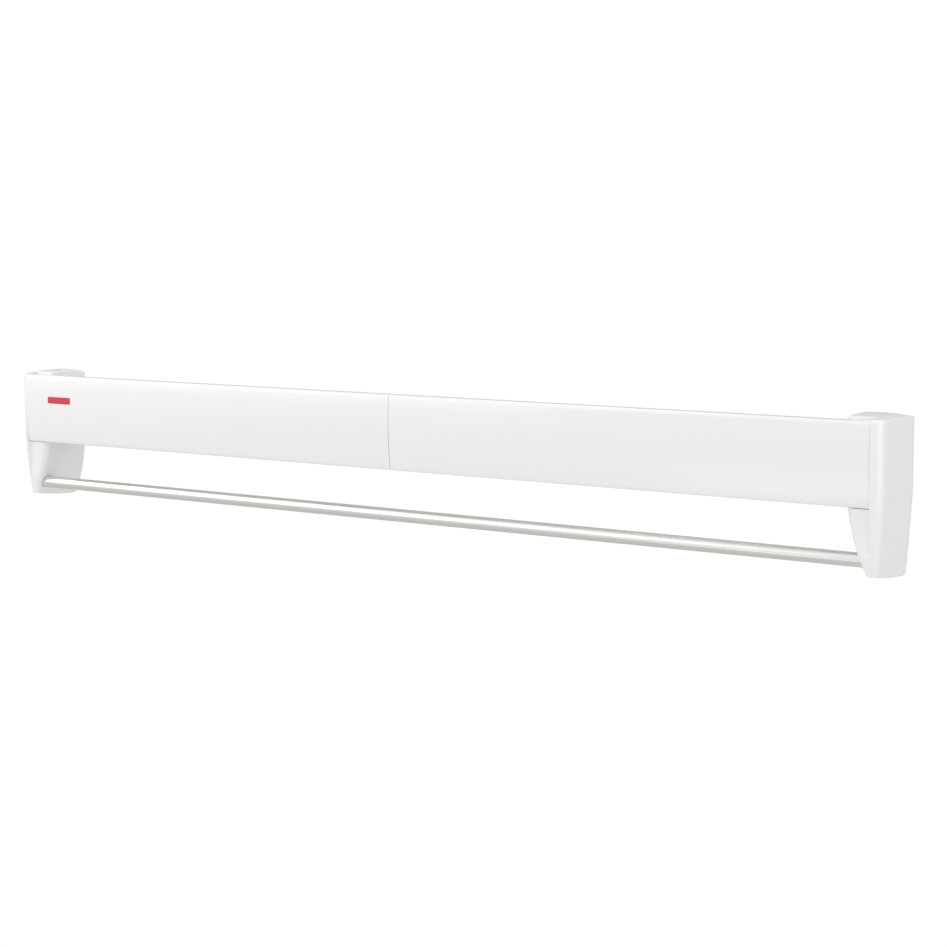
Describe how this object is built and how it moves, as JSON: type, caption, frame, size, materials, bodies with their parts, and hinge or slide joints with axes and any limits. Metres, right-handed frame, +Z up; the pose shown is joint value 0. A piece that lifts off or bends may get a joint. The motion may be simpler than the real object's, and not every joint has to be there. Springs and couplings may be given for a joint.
{
  "type": "wall-mounted retractable clothes airer",
  "caption": "Pull-out wall airer: white front panel between two tapered end caps hides drying rods on scissor arms, with a fixed aluminium towel rail below.",
  "frame": {"origin": "centre of the four wall screw holes, on the wall plane", "axes": "+X along the wall to the right as seen from the room, +Y into the wall (the airer stands in -Y), +Z up"},
  "size_m": [1.06, 0.0655, 0.1421],
  "materials": {
    "gloss_white": "glossy moulded white plastic",
    "inner_plastic": "matte moulded off-white plastic",
    "arm_coating": "white powder coat on steel strip",
    "rod_coating": "smooth white plastic coat on steel rod",
    "zinc_steel": "bright zinc plated",
    "satin_aluminium": "satin anodised tube",
    "red_badge": "glossy red, blank"
  },
  "bodies": {
    "wall_frame": {"left_end_cap": "gloss_white", "right_end_cap": "gloss_white", "cap_screws": "zinc_steel", "left_wall_bracket": "zinc_steel", "right_wall_bracket": "zinc_steel", "towel_rail": "satin_aluminium", "rear_drying_rod": "rod_coating"},
    "down_arms_1": {"left_down_arm_1": "arm_coating", "right_down_arm_1": "arm_coating", "arm_rivets_1": "zinc_steel"},
    "up_arms_1": {"left_up_arm_1": "arm_coating", "right_up_arm_1": "arm_coating", "drying_rod_1": "rod_coating", "rear_slide_pins": "zinc_steel", "rear_slide_bushes": "inner_plastic"},
    "down_arms_2": {"left_down_arm_2": "arm_coating", "right_down_arm_2": "arm_coating", "arm_rivets_2": "zinc_steel"},
    "up_arms_2": {"left_up_arm_2": "arm_coating", "right_up_arm_2": "arm_coating", "drying_rod_2": "rod_coating"},
    "down_arms_3": {"left_down_arm_3": "arm_coating", "right_down_arm_3": "arm_coating", "arm_rivets_3": "zinc_steel"},
    "up_arms_3": {"left_up_arm_3": "arm_coating", "right_up_arm_3": "arm_coating", "drying_rod_3": "rod_coating"},
    "down_arms_4": {"left_down_arm_4": "arm_coating", "right_down_arm_4": "arm_coating", "arm_rivets_4": "zinc_steel"},
    "up_arms_4": {"left_up_arm_4": "arm_coating", "right_up_arm_4": "arm_coating", "drying_rod_4": "rod_coating"},
    "down_arms_5": {"left_down_arm_5": "arm_coating", "right_down_arm_5": "arm_coating", "arm_rivets_5": "zinc_steel"},
    "up_arms_5": {"left_up_arm_5": "arm_coating", "right_up_arm_5": "arm_coating", "drying_rod_5": "rod_coating"},
    "down_arms_6": {"left_down_arm_6": "arm_coating", "right_down_arm_6": "arm_coating", "arm_rivets_6": "zinc_steel", "front_slide_pins": "zinc_steel", "front_slide_bushes": "inner_plastic"},
    "up_arms_6": {"left_up_arm_6": "arm_coating", "right_up_arm_6": "arm_coating"},
    "front": {"left_front_panel": "gloss_white", "right_front_panel": "gloss_white", "panel_joiner": "inner_plastic", "joiner_screws": "zinc_steel", "left_panel_carrier": "inner_plastic", "right_panel_carrier": "inner_plastic", "carrier_screws": "zinc_steel", "front_drying_rod": "rod_coating", "badge": "red_badge"}
  },
  "joints": [
    {"name": "airer_pull_out", "type": "hinge", "parent": "wall_frame", "child": "down_arms_1", "pos_m": [0, -0.008, 0.044], "axis": [-1, 0, 0], "range_deg": [0, 62.04]},
    {"name": "crossing_pivot_1", "type": "hinge", "parent": "down_arms_1", "child": "up_arms_1", "pos_m": [0, -0.0116, 0.01825], "axis": [-1, 0, 0], "range_deg": [-124.13, 0]},
    {"name": "lower_pivot_1", "type": "hinge", "parent": "down_arms_1", "child": "up_arms_2", "pos_m": [0, -0.0152, -0.0075], "axis": [-1, 0, 0], "range_deg": [-124.13, 0]},
    {"name": "crossing_pivot_2", "type": "hinge", "parent": "up_arms_2", "child": "down_arms_2", "pos_m": [0, -0.0188, 0.01825], "axis": [-1, 0, 0], "range_deg": [0, 124.13]},
    {"name": "upper_pivot_2", "type": "hinge", "parent": "up_arms_2", "child": "down_arms_3", "pos_m": [0, -0.0224, 0.044], "axis": [-1, 0, 0], "range_deg": [0, 124.13]},
    {"name": "crossing_pivot_3", "type": "hinge", "parent": "down_arms_3", "child": "up_arms_3", "pos_m": [0, -0.026, 0.01825], "axis": [-1, 0, 0], "range_deg": [-124.13, 0]},
    {"name": "lower_pivot_3", "type": "hinge", "parent": "down_arms_3", "child": "up_arms_4", "pos_m": [0, -0.0296, -0.0075], "axis": [-1, 0, 0], "range_deg": [-124.13, 0]},
    {"name": "crossing_pivot_4", "type": "hinge", "parent": "up_arms_4", "child": "down_arms_4", "pos_m": [0, -0.0332, 0.01825], "axis": [-1, 0, 0], "range_deg": [0, 124.13]},
    {"name": "upper_pivot_4", "type": "hinge", "parent": "up_arms_4", "child": "down_arms_5", "pos_m": [0, -0.0368, 0.044], "axis": [-1, 0, 0], "range_deg": [0, 124.13]},
    {"name": "crossing_pivot_5", "type": "hinge", "parent": "down_arms_5", "child": "up_arms_5", "pos_m": [0, -0.0404, 0.01825], "axis": [-1, 0, 0], "range_deg": [-124.13, 0]},
    {"name": "lower_pivot_5", "type": "hinge", "parent": "down_arms_5", "child": "up_arms_6", "pos_m": [0, -0.044, -0.0075], "axis": [-1, 0, 0], "range_deg": [-124.13, 0]},
    {"name": "crossing_pivot_6", "type": "hinge", "parent": "up_arms_6", "child": "down_arms_6", "pos_m": [0, -0.0476, 0.01825], "axis": [-1, 0, 0], "range_deg": [0, 124.13]},
    {"name": "front_pivot", "type": "hinge", "parent": "up_arms_6", "child": "front", "pos_m": [0, -0.0512, 0.044], "axis": [-1, 0, 0], "range_deg": [0, 62.09]}
  ],
  "couplings": [
    {"joint": "crossing_pivot_1", "follows": "airer_pull_out", "ratio": -2},
    {"joint": "lower_pivot_1", "follows": "airer_pull_out", "ratio": -2},
    {"joint": "crossing_pivot_2", "follows": "airer_pull_out", "ratio": 2},
    {"joint": "upper_pivot_2", "follows": "airer_pull_out", "ratio": 2},
    {"joint": "crossing_pivot_3", "follows": "airer_pull_out", "ratio": -2},
    {"joint": "lower_pivot_3", "follows": "airer_pull_out", "ratio": -2},
    {"joint": "crossing_pivot_4", "follows": "airer_pull_out", "ratio": 2},
    {"joint": "upper_pivot_4", "follows": "airer_pull_out", "ratio": 2},
    {"joint": "crossing_pivot_5", "follows": "airer_pull_out", "ratio": -2},
    {"joint": "lower_pivot_5", "follows": "airer_pull_out", "ratio": -2},
    {"joint": "crossing_pivot_6", "follows": "airer_pull_out", "ratio": 2},
    {"joint": "front_pivot", "follows": "airer_pull_out", "ratio": 1}
  ]
}
